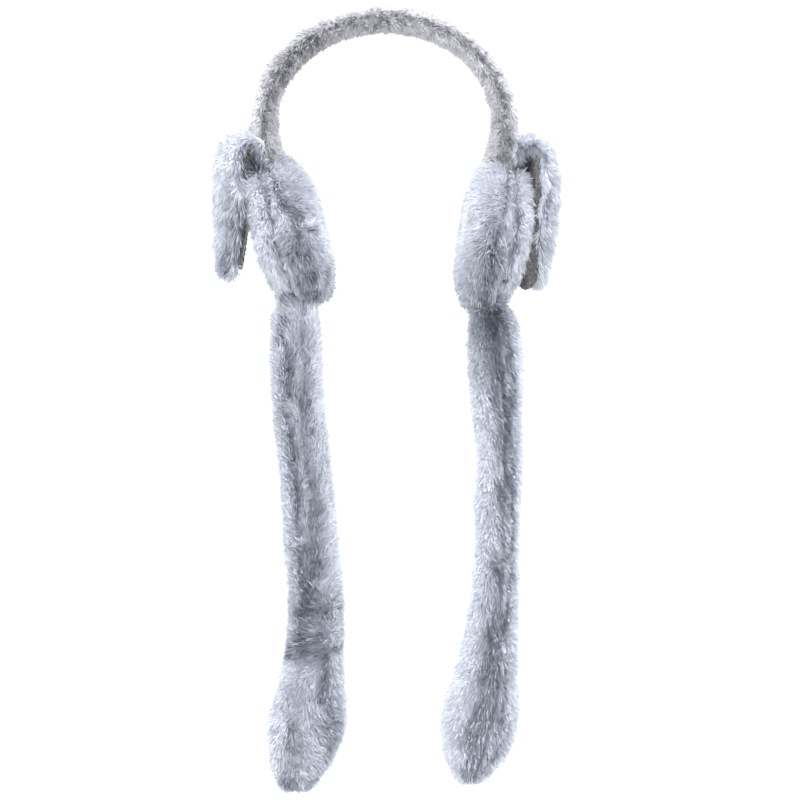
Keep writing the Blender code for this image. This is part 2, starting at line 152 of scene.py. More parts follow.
def stuffed(piece, most):
    # the cover swells under its stuffing, and no point moves further than the most it may
    before = pointsOf(piece)
    cloth = piece.modifiers.new("stuffing", "CLOTH")
    cloth.settings.use_pressure = True
    cloth.settings.uniform_pressure_force = stuffing["pressure"]
    cloth.settings.effector_weights.gravity = 0
    cloth.point_cache.frame_start = 1
    cloth.point_cache.frame_end = stuffing["frames"]
    for step in range(1, stuffing["frames"] + 1):
        scene.frame_set(step)
    applyModifiers(piece)
    movePoints(piece, before + shorter(pointsOf(piece) - before, most))
    scene.frame_set(1)


def pileMaterial(name, look):
    # Faux-fur pile: acrylic fibres knitted into a backing, brushed and sheared. Each fibre is dull and lets
    # some light through, is darker down at the backing and paler at its tip, and takes the dye its own way;
    # its tone also carries painted light and shade, paler or darker in spots and by the form.
    material = bpy.data.materials.new(name)
    material.use_nodes = True
    tree = material.node_tree
    shader = tree.nodes["Principled BSDF"]
    # along the map's x a fibre's tone, up it the way from root to tip
    uv = addNode(tree, "ShaderNodeUVMap", uv_map="OFBake")
    parts = addNode(tree, "ShaderNodeSeparateXYZ", {"Vector": uv.outputs["UV"]})
    ramp = addNode(tree, "ShaderNodeValToRGB", {"Fac": parts.outputs["Y"]})
    stops = ramp.color_ramp.elements
    stops[0].color = linear(look["root"])
    stops[1].color = linear(look["tip"])
    stops[1].position = 0.9
    middle = stops.new(0.45)
    middle.color = linear(look["middle"])
    # tone 0 takes the darkest colour, reached by the dye's own tone and by painted shade
    shade = addNode(tree, "ShaderNodeVectorMath", operation="MULTIPLY_ADD")
    tree.links.new(parts.outputs["X"], shade.inputs[0])
    shade.inputs[1].default_value = [2 - 2 * part for part in look["darkest"]]
    shade.inputs[2].default_value = look["darkest"]
    colour = addNode(tree, "ShaderNodeVectorMath", operation="MULTIPLY")
    tree.links.new(ramp.outputs["Color"], colour.inputs[0])
    tree.links.new(shade.outputs[0], colour.inputs[1])
    tree.links.new(colour.outputs["Vector"], shader.inputs["Base Color"])
    shader.inputs["Roughness"].default_value = look["roughness"]
    shader.inputs["IOR"].default_value = 1.49  # acrylic
    shader.inputs["Specular IOR Level"].default_value = 0.3
    shader.inputs["Metallic"].default_value = 0.0
    through = addNode(tree, "ShaderNodeBsdfTranslucent", {"Color": colour.outputs["Vector"]})
    both = addNode(tree, "ShaderNodeMixShader", {"Fac": look["light through"]})
    tree.links.new(shader.outputs[0], both.inputs[1])
    tree.links.new(through.outputs[0], both.inputs[2])
    tree.links.new(both.outputs[0], tree.nodes["Material Output"].inputs["Surface"])
    return material


def backingMaterial(name, look):
    # The knitted ground cloth that the pile stands on, seen only deep between the fibres:
    # the same dye, darker in the shade of the pile, with stitches about 1.2 mm apart.
    material = bpy.data.materials.new(name)
    material.use_nodes = True
    tree = material.node_tree
    shader = tree.nodes["Principled BSDF"]
    place = addNode(tree, "ShaderNodeTexCoord")
    stitches = addNode(tree, "ShaderNodeTexVoronoi", {
        "Vector": place.outputs["Object"], "Scale": 1 / 0.0012})
    ramp = addNode(tree, "ShaderNodeValToRGB", {"Fac": stitches.outputs["Distance"]})
    ramp.color_ramp.elements[0].color = linear(look["middle"])
    ramp.color_ramp.elements[1].color = linear(look["root"])
    tree.links.new(ramp.outputs["Color"], shader.inputs["Base Color"])
    bump = addNode(tree, "ShaderNodeBump", {
        "Height": stitches.outputs["Distance"], "Strength": 0.5, "Distance": 0.0005})
    tree.links.new(bump.outputs["Normal"], shader.inputs["Normal"])
    shader.inputs["Roughness"].default_value = 0.95
    shader.inputs["Specular IOR Level"].default_value = 0.2
    return material


def liningMaterial(name, look):
    # Short-pile rib knit, the plush cloth that lines the ears: a warmer grey with fine ribs across
    # the ear. The real ribs are about 1.1 mm apart, and they are drawn at 1.5 mm so that they show.
    material = bpy.data.materials.new(name)
    material.use_nodes = True
    tree = material.node_tree
    shader = tree.nodes["Principled BSDF"]
    place = addNode(tree, "ShaderNodeTexCoord")
    ribs = addNode(tree, "ShaderNodeTexWave", {
        "Vector": place.outputs["Object"], "Scale": math.pi / (10 * look["rib"]), "Distortion": 1.2,
        "Detail": 2.0, "Detail Scale": 3.0}, wave_type="BANDS", bands_direction="Z")
    loops = addNode(tree, "ShaderNodeTexNoise", {
        "Vector": place.outputs["Object"], "Scale": 1 / 0.0011, "Detail": 3.0})
    height = addNode(tree, "ShaderNodeMath", operation="MULTIPLY")
    tree.links.new(ribs.outputs["Fac"], height.inputs[0])
    tree.links.new(loops.outputs["Fac"], height.inputs[1])
    # the grooves between the ribs are painted darker, painted shade in the grooves on top of the bump
    ramp = addNode(tree, "ShaderNodeValToRGB", {"Fac": height.outputs[0]})
    ramp.color_ramp.elements[0].color = linear(look["shadedGroove"])
    ramp.color_ramp.elements[0].position = 0.08
    ramp.color_ramp.elements[1].color = linear(look["rib top"])
    ramp.color_ramp.elements[1].position = 0.55
    tree.links.new(ramp.outputs["Color"], shader.inputs["Base Color"])
    bump = addNode(tree, "ShaderNodeBump", {
        "Height": height.outputs[0], "Strength": 0.8, "Distance": 0.0006})
    tree.links.new(bump.outputs["Normal"], shader.inputs["Normal"])
    shader.inputs["Roughness"].default_value = 0.9
    shader.inputs["IOR"].default_value = 1.5
    shader.inputs["Specular IOR Level"].default_value = 0.25
    return material


plushLook = {
    "root": "B2B6C3", "middle": "CBCFD8", "tip": "E0E3EA",
    "darkest": (0.36, 0.39, 0.44), "light through": 0.38, "roughness": 0.6,
}
bandLook = {
    "root": "A2A3A8", "middle": "C5C6CA", "tip": "E4E4E8",
    "darkest": (0.40, 0.40, 0.42), "light through": 0.40, "roughness": 0.65,
}
liningLook = {"shadedGroove": "555456", "rib top": "8A898B", "rib": 0.0015}
liningPileLook = {
    "root": "545355", "middle": "767577", "tip": "949395",
    "darkest": (0.40, 0.40, 0.40), "light through": 0.25, "roughness": 0.75,
}
plushPile = pileMaterial("faux-fur pile, blue grey", plushLook)
plushBacking = backingMaterial("knitted backing, blue grey", plushLook)
bandPile = pileMaterial("short sheared faux-fur pile, grey", bandLook)
bandBacking = backingMaterial("knitted backing, grey", bandLook)
ribKnit = liningMaterial("short-pile rib knit, warm grey", liningLook)
ribPile = pileMaterial("rib knit pile, warm grey", liningPileLook)


fibreForm = {
    # how much the lengths vary, and the shortest and longest as shares of the usual
    "length spread": 0.18, "shortest": 0.5, "longest": 1.35,
    # how much of the way up and along a fibre has gone at its widest place, and how deep its root is sunk
    "half up": 0.60, "half along": 0.42, "sunk": 0.0006,
    # how far at most a tip and a middle are drawn towards those of their tuft
    "tip draw": 0.004, "middle draw": 0.003,
    # how much the tone differs between fibres and between tufts, and how strongly all tones count
    "fibre tones": 0.26, "tuft tones": 0.10, "tone share": 0.4,
}


def growPile(name, skin, pile, comb, rise, length, density, tones):
    # comb is the way the fibres lean, rise how far their tips stand off the skin, length and density
    # shares of the usual, tones how pale the fibres are, from the dye's own tone and from painted light and
    # shade, all of them one row for each point of the skin
    form = fibreForm
    fewer, wider = ((1, 1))
    strands = pile["strands"] // fewer
    width = pile["width"] * wider
    rng = np.random.default_rng(pile["seed"])
    points = pointsOf(skin)
    normals = normalsOf(skin)
    skin.data.calc_loop_triangles()
    triangles = np.empty(len(skin.data.loop_triangles) * 3, np.int32)
    skin.data.loop_triangles.foreach_get("vertices", triangles)
    triangles = triangles.reshape(-1, 3)
    corners = points[triangles]
    areas = np.linalg.norm(np.cross(corners[:, 1] - corners[:, 0], corners[:, 2] - corners[:, 0]), axis=1)
    weights = areas * density[triangles].mean(axis=1)
    chosen = triangles[rng.choice(len(triangles), strands, p=weights / weights.sum())]
    shares = rng.dirichlet((1, 1, 1), strands)[:, :, None]

    def at(rows):
        return (rows[chosen] * shares).sum(axis=1)

    root = at(points)
    up = unit(at(normals))
    lean = at(comb)
    lean = unit(lean - up * (lean * up).sum(axis=1, keepdims=True))
    varied = np.clip(rng.normal(1, form["length spread"], (strands, 1)), form["shortest"], form["longest"])
    reach = pile["length"] * at(length[:, None]) * varied
    climb = at(rise[:, None]) / reach
    # a few finer ones stand out of the rest
    wild = rng.random((strands, 1)) < pile["wild"]
    reach = np.where(wild, reach * 1.12, reach)
    climb = np.clip(np.where(wild, climb * 1.6 + 0.1, climb), 0.10, 0.97)
    run = np.sqrt(1 - climb ** 2)
    stray = rng.normal(0, pile["stray"], (strands, 3)) * reach
    middle = root + (up * climb * form["half up"] + lean * run * form["half along"]) * reach + stray * 0.35
    tip = root + (up * climb + lean * run) * reach + stray

    # fibres hang together in tufts, whose tips close up
    centres = rng.choice(strands, max(1, strands // (pile["tuft"] // fewer)), replace=False)
    tree = kdtree.KDTree(len(centres))
    for index, centre in enumerate(centres):
        tree.insert(Vector(root[centre]), index)
    tree.balance()
    owner = np.array([tree.find(Vector(point))[1] for point in root])
    head = centres[owner]
    pull = pile["pull"] * rng.uniform(0.2, 1.0, len(centres))[owner][:, None]
    pull = pull * rng.uniform(0.4, 1.0, (strands, 1))
    tip += shorter(tip[head] - tip, form["tip draw"]) * pull
    middle += shorter(middle[head] - middle, form["middle draw"]) * pull * 0.4

    # each fibre is one slim face, pointed at both ends and widest half way
    heading = unit(tip - root)
    side = unit(np.cross(heading, up))
    twist = rng.uniform(-1, 1, (strands, 1)) * pile["twist"]
    side = side * np.cos(twist) + np.cross(heading, side) * np.sin(twist)
    belly = middle + side * width * rng.uniform(0.7, 1.3, (strands, 1)) * np.where(wild, 0.5, 1.0)
    corners = np.stack([root - up * form["sunk"], belly, tip], axis=1)
    facing = (np.cross(corners[:, 1] - corners[:, 0], corners[:, 2] - corners[:, 0]) * up).sum(axis=1)
    order = np.where(facing[:, None] > 0, [0, 1, 2], [0, 2, 1])

    # on the map, a fibre's tone lies along x and the way from its root to its tip up y
    tone = at(tones[:, None])[:, 0] + rng.normal(0, form["fibre tones"], strands)
    tone += rng.normal(0, form["tuft tones"], len(centres))[owner]
    # the ribs also show in the pile's tone as bands of painted shade, darker and paler across the ear
    if "rib" in pile:
        tone += 0.7 * np.sin(root[:, 2] * 2 * math.pi / pile["rib"])
    tone = np.clip(0.5 + form["tone share"] * tone, 0.02, 0.98)
    across = tone[:, None] + np.array([-0.01, 0.01, -0.01])
    uvs = np.stack([across, np.tile([0, 0.5, 1.0], (strands, 1))], axis=2)
    uvs = np.take_along_axis(uvs, order[:, :, None], axis=1)

    mesh = bpy.data.meshes.new(name)
    mesh.vertices.add(strands * 3)
    mesh.vertices.foreach_set("co", corners.astype(np.float32).ravel())
    mesh.loops.add(strands * 3)
    mesh.loops.foreach_set("vertex_index", (np.arange(strands)[:, None] * 3 + order).astype(np.int32).ravel())
    mesh.polygons.add(strands)
    mesh.polygons.foreach_set("loop_start", np.arange(0, strands * 3, 3, dtype=np.int32))
    layer = mesh.uv_layers.new(name="OFBake")
    layer.data.foreach_set("uv", uvs.astype(np.float32).ravel())
    mesh.update(calc_edges=True)
    mesh.shade_smooth()
    mesh.materials.append(pile["material"])
    fur = bpy.data.objects.new(name, mesh)
    scene.collection.objects.link(fur)
    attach(fur, "root")


outlines = {name: cleanCopy(name, "outline." + name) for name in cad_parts}
trees = {}
for name, piece in outlines.items():
    shape = bmesh.new()
    shape.from_mesh(piece.data)
    trees[name] = BVHTree.FromBMesh(shape)
    shape.free()


def distanceTo(node, points):
    return np.array([trees[node].find_nearest(Vector(p))[3] for p in points])


def nearestOther(node, points):
    # how far each point is from the closest of the other pieces, 20 mm at most
    values = np.full(len(points), 0.02)
    for other, tree in trees.items():
        if other != node:
            found = [tree.find_nearest(Vector(p), 0.02)[3] for p in points]
            values = np.minimum(values, [0.02 if far is None else far for far in found])
    return values


coverReach = 0.0015  # no pile grows where another piece lies this close over the skin


def openTo(node, points, normals, reach):
    # 0 where another piece lies straight over a point, within reach
    values = np.ones(len(points))
    for other, tree in trees.items():
        if other == node:
            continue
        for index, (point, normal) in enumerate(zip(points, normals)):
            if values[index] and tree.ray_cast(Vector(point), Vector(normal), reach)[0] is not None:
                values[index] = 0.0
    return values


def spotsAt(points, spots):
    # soft round spots on the front: x and z of the middle, half breadth, half height and how strong
    values = np.zeros(len(points))
    for x, z, wide, tall, strong in spots:
        values += strong * np.exp(-((points[:, 0] - x) / wide) ** 2 - ((points[:, 2] - z) / tall) ** 2)
    return values


def fringeAt(spots):
    # the pile hangs over as a ragged fringe at these spots of the front
    return lambda points, normals: spotsAt(points, spots) * np.clip(0.5 - normals[:, 1], 0, 1)


def fillAt(spots):
    # from 14 mm in front of the middle backwards the pile stands up and fills a corner
    return lambda points, normals: spotsAt(points, spots) * np.clip((points[:, 1] + 0.014) / 0.006, 0, 1)


def makeSkin(node, spec, presses=None):
    # the stuffed backing cloth of one piece, a pile's height inside its outer form, and right out at it
    # where it meets another piece, so that no gap opens between them
    skin = cleanCopy(node, node + ".skin")
    remeshed(skin, spec["voxel"])
    points = pointsOf(skin)
    depth = (spec["inset"] + spec["swell"]) * np.clip(nearestOther(node, points) / spec["close"], 0.08, 1)
    depth = spread(skin, depth, 1)
    movePoints(skin, points - normalsOf(skin) * depth[:, None])
    stuffed(skin, spec["swell"])
    smooth = skin.modifiers.new("rounded cloth", "SUBSURF")
    smooth.levels = 1
    smooth.render_levels = 1
    applyModifiers(skin)
    if presses:
        movePoints(skin, pointsOf(skin) + presses(pointsOf(skin), normalsOf(skin)))
    skin.data.shade_smooth()
    skin.data.materials.append(spec["backing"])
    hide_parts(node)
    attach(skin, "root")
    return skin


def furred(node, spec, comb, presses=None, part=None):
    print("making", node)
    skin = makeSkin(node, spec, presses)
    points = pointsOf(skin)
    normals = normalsOf(skin)
    rise = np.clip(spread(skin, distanceTo(node, points), 4), spec["least"], spec["inset"] * 1.5)
    rise *= 1 + spec["ruffle"] * noiseAt(points, spec["ruffle size"], spec["seed"] + 1)
    lean = comb(points, normals)
    lean = unit(lean - normals * (lean * normals).sum(axis=1, keepdims=True))
    swing = spec["swirl"] * noiseAt(points, spec["swirl size"], spec["seed"] + 2)[:, None]
    lean = lean * np.cos(swing) + np.cross(normals, lean) * np.sin(swing)
    front = np.clip(0.5 - normals[:, 1], 0, 1)
    # in some spots the pile is longer and stands up, and where it fills a corner it is dense and painted dark,
    # painted shade in the hollow
    standing = spec["standing"](points, normals) if "standing" in spec else 0 * rise
    corner = fillAt(spec.get("corner", ()))(points, normals)
    length = 1 + standing
    rise *= 1 + 1.5 * standing
    tones = spec["patches"] * noiseAt(points, 0.016, spec["seed"] + 3)
    # painted light and shade: spots on the front painted darker where shade falls and paler where light falls
    tones += spotsAt(points, spec.get("shades", ())) * front
    # painted light and shade that follows the form of the piece
    if "tint" in spec:
        tones += spec["tint"](points, normals)
    # painted shade: the corner fill is painted dark
    tones -= 0.9 * corner
    if part:
        # at a parting the pile is trapped in the seam, shorter and flatter, and painted darker there as
        # painted shade, as it is in the gaps between lobes
        trapped = part(points)
        length *= 1 - 0.30 * trapped
        rise *= 1 - 0.35 * trapped
        # painted shade in the parting and in the gaps between lobes
        tones -= 0.30 * trapped
    density = openTo(node, points, normals, spec.get("clear", coverReach)) * (1 + 4 * corner)
    growPile(node + ".fur", skin, spec, lean, rise, length, density, tones)


# The values of a furred piece, all lengths in metres: strands, length and width are its fibres' number,
# length and breadth, stray is how far the tips wander, tuft how many fibres hang together and pull how
# strongly, twist how far each turns its face and wild the share of longer ones. voxel is the size of the
# skin's faces, inset how far the skin ends inside the outer form, swell how far its stuffing fills it out,
# close how near another piece has to be to draw it out to that form, and least how far the pile rises at
# the least. ruffle and swirl are how unevenly the pile stands and leans, with the size of their lumps,
# patches how much the dye varies, and fill the share of the inside that is stuffing.
plushSpec = {
    "width": 0.00038, "tuft": 12, "twist": 0.8, "wild": 0.06,
    "material": plushPile, "backing": plushBacking, "slot": "plush_pile",
}

# Seam lines down the front of the straps and where the pile leans, from the neck down. z is in metres,
# seam is the parting's x, and left and right are the ways the tips point on each side of the parting,
# in degrees from straight down towards +X.
strapLines = {
    "left": [
        # z, seam, left, right
        (-0.200, -0.0610, -110, 120),
        (-0.225, -0.0613, -150, 175),
        (-0.245, -0.0620, 150, 170),
        (-0.262, -0.0620, 145, 140),
        (-0.280, -0.0615, -110, 140),
        (-0.300, -0.0610, -150, 170),
        (-0.315, -0.0585, -140, 145),
        (-0.335, -0.0570, 165, 165),
        (-0.350, -0.0568, 140, 150),
        (-0.370, -0.0550, -120, 140),
        (-0.392, -0.0532, -140, 135),
        (-0.410, -0.0540, -145, 145),
        (-0.425, -0.0560, -150, -140),
        (-0.445, -0.0575, -115, -125),
        (-0.462, -0.0595, -90, -90),
        (-0.480, -0.0620, -70, -45),
        (-0.500, -0.0640, -70, 30),
        (-0.520, -0.0660, -60, 80),
        (-0.540, -0.0690, -40, 50),
        (-0.570, -0.0700, -30, 40),
    ],
    "right": [
        (-0.200, 0.0800, 10, 40),
        (-0.225, 0.0830, 8, 48),
        (-0.250, 0.0860, 10, 48),
        (-0.275, 0.0875, 30, 52),
        (-0.300, 0.0880, 25, 45),
        (-0.320, 0.0865, 30, 42),
        (-0.340, 0.0915, 18, 45),
        (-0.360, 0.0925, 28, 50),
        (-0.385, 0.0915, 30, 48),
        (-0.410, 0.0895, 12, 30),
        (-0.430, 0.0885, -12, 28),
        (-0.450, 0.0865, -28, 22),
        (-0.470, 0.0850, -30, 15),
        (-0.490, 0.0820, -36, 14),
        (-0.510, 0.0785, -40, 10),
        (-0.530, 0.0735, -36, 0),
        (-0.550, 0.0670, -25, -20),
        (-0.570, 0.0640, -10, -20),
    ],
}

# Dents and creases pressed into the front of each strap: x and z of the middle, half its breadth and height,
# how deep, all in metres, and its slant in degrees.
strapDents = {
    "left": [
        (-0.0700, -0.276, 0.012, 0.0045, 0.00225, 8),
        (-0.0480, -0.354, 0.009, 0.0060, 0.00150, -35),
        (-0.0740, -0.463, 0.010, 0.0045, 0.00450, 12),
    ],
    "right": [
        (0.0960, -0.285, 0.011, 0.0050, 0.00175, 20),
        (0.0760, -0.340, 0.010, 0.0055, 0.00150, -25),
        (0.0900, -0.392, 0.012, 0.0050, 0.00200, 35),
        (0.0800, -0.445, 0.010, 0.0055, 0.00150, 25),
    ],
}

# Where the pile of a strap lies in lobes that overlap like scallops: x, z and radius of each. The lobes set
# in between the two heights, and reach from there down to the end of the paw.
strapLobes = {
    "left": {
        "from": -0.412, "to": -0.424,
        "lobes": [
            (-0.0776, -0.4220, 0.0075), (-0.0628, -0.4295, 0.0075), (-0.0464, -0.4220, 0.0075),
            (-0.0702, -0.4406, 0.0075), (-0.0516, -0.4443, 0.0080), (-0.0810, -0.4518, 0.0080),
            (-0.0620, -0.4560, 0.0080), (-0.0464, -0.4640, 0.0105), (-0.0725, -0.4720, 0.0085),
            (-0.0799, -0.4870, 0.0090), (-0.0600, -0.4850, 0.0090), (-0.0420, -0.4850, 0.0090),
            (-0.0814, -0.5037, 0.0090), (-0.0539, -0.5000, 0.0100), (-0.0687, -0.5186, 0.0095),
            (-0.0427, -0.5186, 0.0090), (-0.0540, -0.5330, 0.0090), (-0.0780, -0.5330, 0.0090),
            (-0.0620, -0.5520, 0.0100),
        ],
    },
}


def lobesAt(points, side):
    # which way the pile leans in its lobe, how close to the edge of the lobe, and how strongly lobes count
    rows = np.array(strapLobes[side]["lobes"])
    wave = 0.0022 * np.stack([noiseAt(points, 0.006, 21), noiseAt(points, 0.006, 22)], axis=1)
    away = (points[:, None, [0, 2]] + wave[:, None] - rows[None, :, :2]) / rows[None, :, 2:3]
    far = np.linalg.norm(away, axis=2)
    order = np.argsort(far, axis=1)
    index = np.arange(len(points))
    border = far[index, order[:, 1]] - far[index, order[:, 0]]
    way = away[index, order[:, 0]]
    way = np.stack([way[:, 0], np.zeros(len(points)), way[:, 1]], axis=1)
    top, bottom = strapLobes[side]["from"], strapLobes[side]["to"]
    return way, border, np.clip((points[:, 2] - top) / (bottom - top), 0, 1)


strapSpec = {
    **plushSpec, "strands": 160000, "length": 0.0068, "stray": 0.16, "pull": 0.32,
    "voxel": 0.005, "inset": 0.0034, "swell": 0.0016, "close": 0.008, "least": 0.0020, "fill": 0.55,
    "ruffle size": 0.009, "swirl size": 0.013, "patches": 0.12,
}
strapForm = {
    # half the parting's breadth, how deep it and the lobes' edges are pressed in, the breadth over which one
    # side's lean goes over into the other's, and how far beside the parting the pile still lies along it
    "part": 0.0015, "press": 0.0014, "cross": 0.010, "beside": 0.013,
    # below this height the neck is no longer gathered in under the cup, and how far it is gathered
    "neck": -0.214, "gather": 0.0035,
    # how strongly a lobe turns its pile outwards, and how broad and deep the gaps between lobes are
    "lobe turn": 0.55, "lobe gap": 0.22, "lobe depth": 0.7,
}
strapWays = {
    # seam is how deep the parting is and how dark it is painted, as painted shade in the seam, and the spots
    # are painted shade where they are darker and painted light where they are paler
    "left": {
        "seed": 15, "seam": 0.6, "swirl": 0.7, "ruffle": 0.22,
        "shades": [(-0.062, -0.430, 0.024, 0.020, -0.40), (-0.072, -0.460, 0.009, 0.005, -0.8),
                   (-0.064, -0.553, 0.012, 0.008, -0.5), (-0.078, -0.300, 0.009, 0.012, -0.4),
                   (-0.062, -0.212, 0.030, 0.014, 0.30)],
    },
    "right": {
        "seed": 16, "seam": 1.1, "swirl": 0.30, "ruffle": 0.12,
        "shades": [(0.074, -0.218, 0.015, 0.016, -0.8), (0.076, -0.248, 0.013, 0.016, -0.25),
                   (0.098, -0.230, 0.012, 0.030, 0.20), (0.072, -0.510, 0.022, 0.034, 0.25),
                   (0.102, -0.330, 0.009, 0.080, 0.25), (0.100, -0.470, 0.010, 0.060, 0.25)],
    },
}


def strapField(side):
    rows = np.array(strapLines[side])
    heights = -rows[:, 0]

    def seamAt(points):
        return np.interp(-points[:, 2], heights, rows[:, 1])

    def comb(points, normals):
        down = -points[:, 2]
        seam = seamAt(points)
        tip = [np.interp(down, heights, np.unwrap(np.radians(rows[:, column]))) for column in (2, 3)]
        share = np.clip(0.5 + (points[:, 0] - seam) / strapForm["cross"], 0, 1)
        ways = [np.stack([np.sin(angle), np.zeros(len(points)), -np.cos(angle)], axis=1) for angle in tip]
        front = ways[0] * (1 - share[:, None]) + ways[1] * share[:, None]
        # beside the parting, where its two sides lean apart, and where the strap turns away, the pile
        # runs more nearly along it
        turned = np.clip(normals[:, 0] * np.sign(front[:, 0]) * 1.6, 0, 1)
        parted = np.clip(2 * np.abs(ways[0][:, 0] - ways[1][:, 0]), 0, 1)
        parted *= np.clip(0.85 - np.abs(points[:, 0] - seam) / strapForm["beside"], 0, 1)
        front[:, 0] *= (1 - 0.8 * turned) * (1 - parted)
        if side in strapLobes:
            way, _, share = lobesAt(points, side)
            lobed = unit(front) + way * strapForm["lobe turn"] + [0.0, 0.0, -0.4]
            front = front * (1 - share[:, None]) + lobed * share[:, None]
        # the back's pile runs along the strap, and round it where the nap turns over, so that it never
        # fans out from one place
        nap = np.clip(-3 * np.cos(tip[0]), -1, 1)[:, None]
        back = nap * [0.0, 0.0, 1.0] + np.sqrt(1 - nap ** 2) * np.cross(normals, [0.0, 0.0, 1.0])
        behind = np.clip(0.5 + normals[:, 1] * 1.2, 0, 1)[:, None]
        return front * (1 - behind) + back * behind

    def part(points):
        centre = points[:, 1].mean()
        front = np.clip((centre - points[:, 1]) / 0.006, 0, 1)
        trapped = np.exp(-((points[:, 0] - seamAt(points)) / strapForm["part"]) ** 2) * strapWays[side]["seam"]
        if side in strapLobes:
            _, border, share = lobesAt(points, side)
            gaps = strapForm["lobe depth"] * np.exp(-(border / strapForm["lobe gap"]) ** 2)
            trapped = trapped * (1 - share) + gaps * share
        return trapped * front

    def presses(points, normals):
        depth = strapForm["press"] * part(points)
        depth += strapForm["gather"] * np.clip((points[:, 2] - strapForm["neck"]) / 0.012, 0, 1)
        centre = points[:, 1].mean()
        front = np.clip((centre - points[:, 1]) / 0.008, 0, 1)
        for x, z, wide, tall, deep, slant in strapDents[side]:
            turn = math.radians(slant)
            dx = points[:, 0] - x
            dz = points[:, 2] - z
            aside = dx * math.cos(turn) - dz * math.sin(turn)
            below = dx * math.sin(turn) + dz * math.cos(turn)
            depth += deep * np.exp(-(aside / wide) ** 2 - (below / tall) ** 2) * front
        return -normals * depth[:, None]

    return comb, presses, part


for side in ("left", "right"):
    comb, presses, part = strapField(side)
    furred("strap_" + side, {**strapSpec, **strapWays[side]}, comb, presses, part)


cupSpec = {
    **plushSpec, "length": 0.0068, "stray": 0.15, "pull": 0.26,
    "voxel": 0.005, "inset": 0.0034, "swell": 0.0018, "close": 0.009, "least": 0.0022, "fill": 0.7,
    "ruffle": 0.10, "ruffle size": 0.010, "swirl": 0.3, "swirl size": 0.012, "patches": 0.10,
}
cupStrands = {"cushion": 74000, "back": 50000}
# how far round the whorl the pile is loose, and how far above it the pile is brushed towards the head
cushionForm = {"loose": 0.022, "brushed from": 0.004, "brushed over": 0.034}
cupWays = {
    # whorl is where the cushion's pile fans out from, x and z, and inward the side of the head
    "left": {
        "whorl": (-0.0600, -0.1570), "inward": 1, "cushion seed": 31, "back seed": 33,
        "fringe": [(-0.0390, -0.1900, 0.010, 0.006, 0.5), (-0.0600, -0.1570, 0.009, 0.009, 0.2)],
        # spots of painted shade on the cushion's front
        "shades": [(-0.0480, -0.1800, 0.022, 0.020, -0.10)],
        # where the pile of the cup's back fills the corner under the ear's root, painted dark there as painted
        # shade
        "corner": [(-0.1000, -0.1030, 0.015, 0.012, 1.7)],
    },
    "right": {
        "whorl": (0.0750, -0.1620), "inward": -1, "cushion seed": 41, "back seed": 43,
        "fringe": [(0.0520, -0.1960, 0.010, 0.006, 0.5), (0.0750, -0.1620, 0.009, 0.009, 0.2)],
        # spots of painted shade on the cushion's front
        "shades": [(0.0680, -0.1780, 0.022, 0.020, -0.15)],
        # the corner fill is painted dark as painted shade
        "corner": [(0.1010, -0.0960, 0.012, 0.010, 0.2)],
    },
}


def cushionComb(side):
    ways = cupWays[side]

    def comb(points, normals):
        fromWhorl = np.stack([
            points[:, 0] - ways["whorl"][0],
            np.zeros(len(points)),
            points[:, 2] - ways["whorl"][1],
        ], axis=1)
        far = np.linalg.norm(fromWhorl, axis=1, keepdims=True)
        # loose at the whorl, fanning out from it, and high up brushed towards the head
        loose = np.stack([noiseAt(points, 0.014, 5 + axis) for axis in range(3)], axis=1)
        loose = loose * 0.7 * np.exp(-(far / cushionForm["loose"]) ** 2)
        fan = fromWhorl / (far + 0.020) + loose + [0.0, 0.0, -0.45]
        above = points[:, 2] - ways["whorl"][1] - cushionForm["brushed from"]
        high = np.clip(above / cushionForm["brushed over"], 0, 1)[:, None]
        brushed = np.array([ways["inward"] * 0.85, 0.0, -0.5])
        way = fan * (1 - high) + brushed * high
        behind = np.clip(0.5 + normals[:, 1] * 1.5, 0, 1)[:, None]
        return way * (1 - behind) + np.array([ways["inward"] * 0.5, 0.0, -0.9]) * behind

    return comb


def cupPaintedShading(points, normals):
    # painted shade and light: darker low down where the cup's underside is in shade, and not too pale on top
    # where the light falls
    return np.interp(points[:, 2], [-0.190, -0.165, -0.145, -0.120], [-0.42, -0.08, 0.15, -0.15])


def backComb(side):
    ways = cupWays[side]
    return lambda points, normals: np.tile([ways["inward"] * 0.25, 0.0, -1.0], (len(points), 1))


for side in ("left", "right"):
    ways = cupWays[side]
    spec = {**cupSpec, "strands": cupStrands["cushion"], "seed": ways["cushion seed"]}
    spec.update({"shades": ways["shades"], "standing": fringeAt(ways["fringe"]), "tint": cupPaintedShading})
    furred("ear_cushion_" + side, spec, cushionComb(side))
    spec = {**cupSpec, "strands": cupStrands["back"], "seed": ways["back seed"]}
    spec.update({"standing": fillAt(ways["corner"]), "corner": ways["corner"]})
    furred("cup_back_" + side, spec, backComb(side))


bandSpec = {
    "strands": 108000, "length": 0.0060, "width": 0.00036, "stray": 0.18, "tuft": 9, "pull": 0.34,
    "twist": 1.2, "wild": 0.03, "material": bandPile, "backing": bandBacking, "slot": "band_pile",
    "voxel": 0.004, "inset": 0.0030, "swell": 0.0012, "close": 0.006, "least": 0.0016, "fill": 0.5,
    "ruffle": 0.3, "ruffle size": 0.006, "swirl": 3.0, "swirl size": 0.005, "patches": 0.16, "seed": 51,
}
bandCentre = 0.067  # how far below the crown the arch has its centre


def bandComb(points, normals):
    # down and round the arch, from the crown to each cup
    side = np.clip(points[:, 0] / 0.030, -1, 1)
    up = points[:, 2] + bandCentre
    loose = np.stack([noiseAt(points, 0.005, 25 + axis) for axis in range(3)], axis=1) * 0.04
    return np.stack([np.maximum(up, 0) * side, np.zeros(len(points)), -np.abs(points[:, 0])], axis=1) + loose


